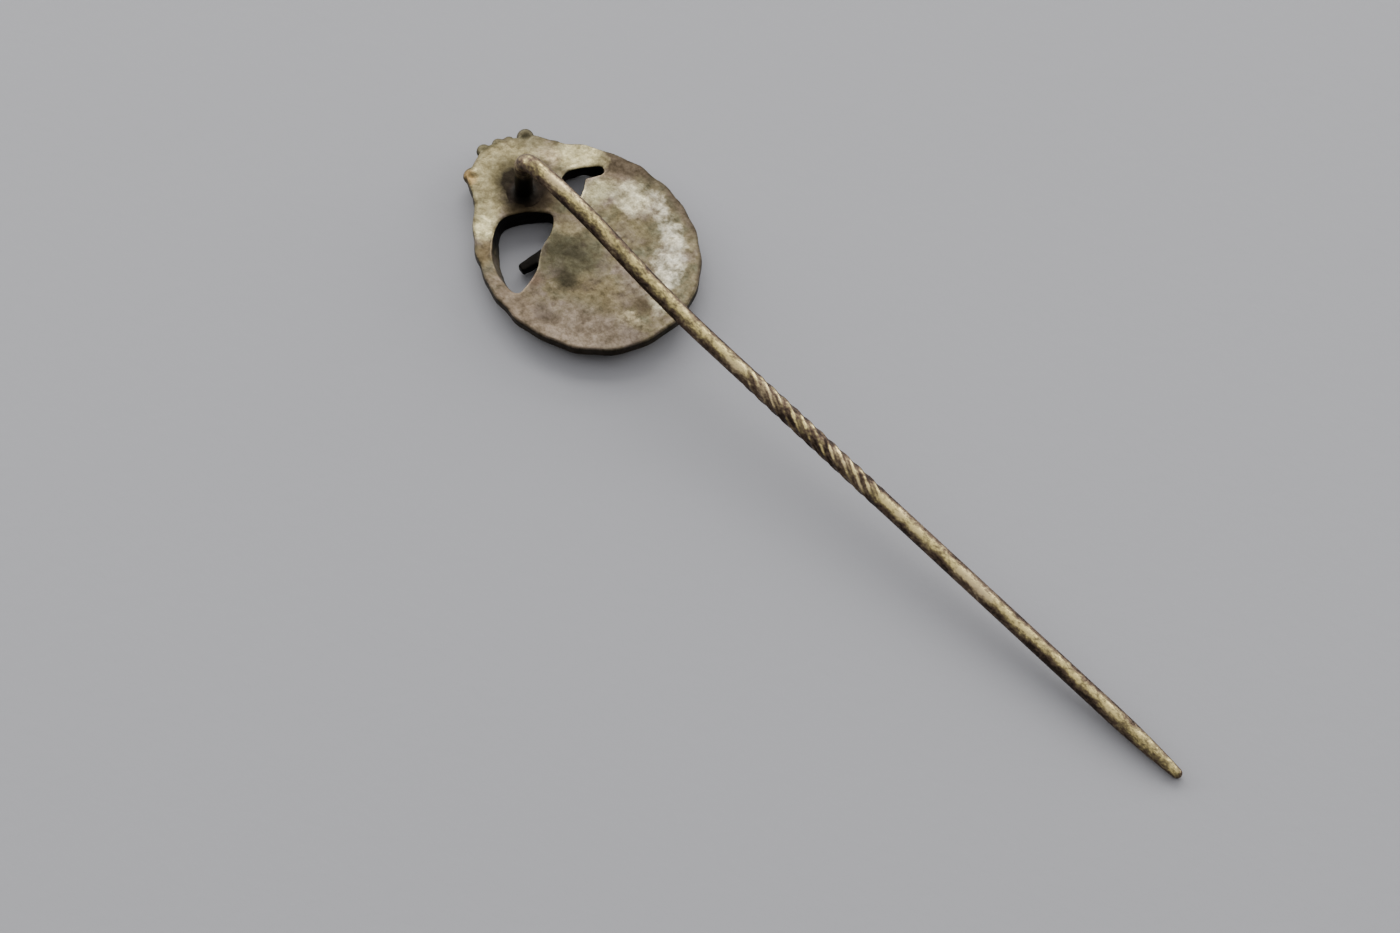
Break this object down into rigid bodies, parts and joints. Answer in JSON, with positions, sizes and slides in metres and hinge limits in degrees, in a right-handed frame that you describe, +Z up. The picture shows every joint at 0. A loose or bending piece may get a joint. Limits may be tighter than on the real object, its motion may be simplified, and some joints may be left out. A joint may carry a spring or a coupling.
{
  "type": "lapel stick pin",
  "caption": "Cast oval badge head with two pierced windows and a knobbed crest, soldered to a long bent wire pin with a spiral-ridged stretch and a tapered blunt point.",
  "frame": {"origin": "on the surface that the pin lies on, under the middle of its whole length and width", "axes": "+X along the wire towards the point, +Y across the head towards its small window, +Z up, away from the surface, with the back of the head facing up"},
  "size_m": [0.0582, 0.0127, 0.0055],
  "materials": {
    "tarnished_metal": "tarnished nickel silver, cast and drawn, mottled"
  },
  "bodies": {
    "root": {"stick_pin": "tarnished_metal"}
  },
  "joints": []
}
